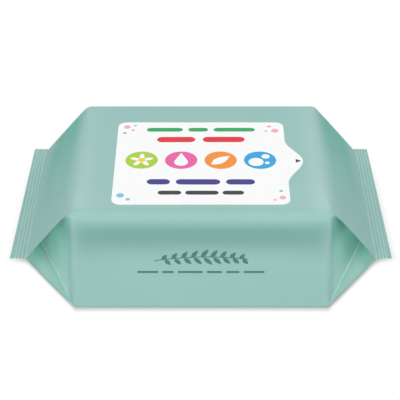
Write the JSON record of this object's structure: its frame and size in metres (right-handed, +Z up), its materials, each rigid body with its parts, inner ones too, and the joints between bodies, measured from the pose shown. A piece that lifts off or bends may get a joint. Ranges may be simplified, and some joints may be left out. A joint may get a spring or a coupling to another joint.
{
  "type": "wet wipes pack",
  "caption": "Flow-wrapped pack of wet wipes in teal film, with tucked, crimped ends, a back seam and a white peel-back reseal label with a pull tab on its top.",
  "frame": {"origin": "on the floor, under the middle of the pack", "axes": "+X along the pack from end seal to end seal, towards the pull tab; +Y to the back; +Z up through the label"},
  "size_m": [0.196, 0.11, 0.0613],
  "materials": {
    "film": "satin printed laminate film, soft teal green",
    "label": "white semi-gloss coated label with a few printed colour fields"
  },
  "bodies": {
    "root": {"film_pack": "film", "reseal_label": "label"}
  },
  "joints": []
}
